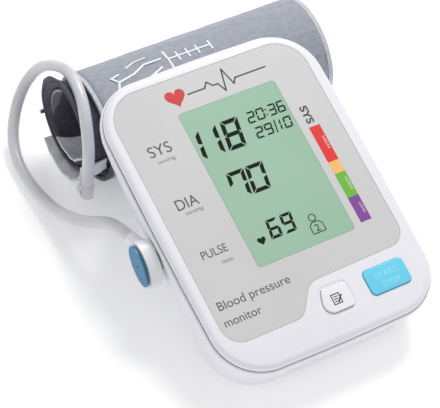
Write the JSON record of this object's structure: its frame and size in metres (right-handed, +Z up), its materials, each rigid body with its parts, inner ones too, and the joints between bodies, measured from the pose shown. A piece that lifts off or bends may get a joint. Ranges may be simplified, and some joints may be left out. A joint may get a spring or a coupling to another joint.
{
  "type": "upper arm blood pressure monitor",
  "caption": "Desktop blood pressure monitor with a large display, keys, a rolled upper arm cuff behind it and the air tube plugged into its side.",
  "frame": {"origin": "on the table, under the middle of the box of monitor and cuff", "axes": "+Z up, +X to the right of the reader, -Y towards the reader"},
  "size_m": [0.1776, 0.2353, 0.0828],
  "materials": {
    "white_abs": "satin moulded ABS",
    "grey_film": "printed polycarbonate film",
    "clear_window": "clear acrylic",
    "lcd_glass": "liquid crystal cell with reflector",
    "frame_plastic": "moulded",
    "zebra_rubber": "striped elastomer",
    "board_green": "solder mask on glass fibre",
    "chip_black": "epoxy moulding",
    "can_alu": "drawn can",
    "switch_steel": "stamped",
    "cyan_key": "moulded",
    "white_key": "moulded",
    "motor_steel": "plated can",
    "head_black": "moulded",
    "shaft_steel": "ground",
    "cradle_rubber": "moulded",
    "valve_steel": "plated",
    "manifold_grey": "moulded",
    "hose_clear": "silicone",
    "ring_rubber": "moulded nitrile",
    "cell_jacket": "shrink sleeve on steel",
    "spring_steel": "nickel plated",
    "foot_rubber": "moulded",
    "screw_steel": "zinc plated",
    "plug_white": "moulded",
    "cap_teal": "moulded",
    "tube_grey": "extruded PVC",
    "cuff_nylon": "coated nylon taffeta",
    "lining_nylon": "coated nylon",
    "bladder_tpu": "welded film",
    "binding_tape": "woven edge tape",
    "loop_pile": "knitted loop",
    "hook_tape": "hook tape",
    "bar_steel": "bent wire"
  },
  "bodies": {
    "monitor": {"top_housing": "white_abs", "bottom_housing": "white_abs", "front_panel": "grey_film", "display_window": "clear_window", "lcd_glass": "lcd_glass", "lcd_holder": "frame_plastic", "zebra_strips": "zebra_rubber", "main_board": "board_green", "board_chips": "chip_black", "board_capacitors": "can_alu", "buzzer": "chip_black", "key_switches": "switch_steel", "pump_motor": "motor_steel", "pump_head": "head_black", "pump_cradle": "cradle_rubber", "release_valve": "valve_steel", "pressure_sensor": "chip_black", "air_manifold": "manifold_grey", "inner_hoses": "hose_clear", "air_socket": "manifold_grey", "socket_ring": "ring_rubber", "batteries": "cell_jacket", "battery_springs": "spring_steel", "battery_contacts": "spring_steel", "rubber_feet": "foot_rubber", "housing_screws": "screw_steel", "board_screws": "screw_steel"},
    "start_key": {"start_stop_button": "cyan_key"},
    "memory_key": {"memory_button": "white_key"},
    "cover": {"battery_cover": "white_abs"},
    "shaft": {"pump_shaft": "shaft_steel"},
    "plunger": {"valve_plunger": "shaft_steel"},
    "cuff": {"air_plug": "plug_white", "plug_cap": "cap_teal", "plug_ring": "ring_rubber", "air_tube": "tube_grey", "cuff_outer_cover": "cuff_nylon", "cuff_left_binding": "binding_tape", "cuff_right_binding": "binding_tape", "loop_patch": "loop_pile", "hook_patch": "hook_tape", "air_bladder": "bladder_tpu", "cuff_inner_cover": "cuff_nylon", "cuff_lining": "lining_nylon", "cuff_end_flap": "binding_tape", "tube_nipple": "tube_grey", "cuff_bar": "bar_steel"}
  },
  "joints": [
    {"name": "start_stop_press", "type": "slide", "parent": "monitor", "child": "start_key", "axis": [0, 0.319, -0.9478], "range_m": [0, 0.001], "stiffness_N_per_m": 400},
    {"name": "memory_press", "type": "slide", "parent": "monitor", "child": "memory_key", "axis": [0, 0.319, -0.9478], "range_m": [0, 0.0008], "stiffness_N_per_m": 400},
    {"name": "battery_cover_open", "type": "hinge", "parent": "monitor", "child": "cover", "pos_m": [-0.004, -0.04725, 0.01635], "axis": [-1, 0, 0], "range_deg": [0, 28]},
    {"name": "pump_shaft_spin", "type": "hinge", "parent": "monitor", "child": "shaft", "pos_m": [-0.0545, 0.01558, 0.05226], "axis": [0, 0.9478, 0.319], "continuous": true},
    {"name": "valve_plunger_open", "type": "slide", "parent": "monitor", "child": "plunger", "axis": [0, -0.9478, -0.319], "range_m": [0, 0.001], "stiffness_N_per_m": 150},
    {"name": "air_plug_pull", "type": "slide", "parent": "monitor", "child": "cuff", "axis": [-1, 0, 0], "range_m": [0, 0.012]}
  ]
}
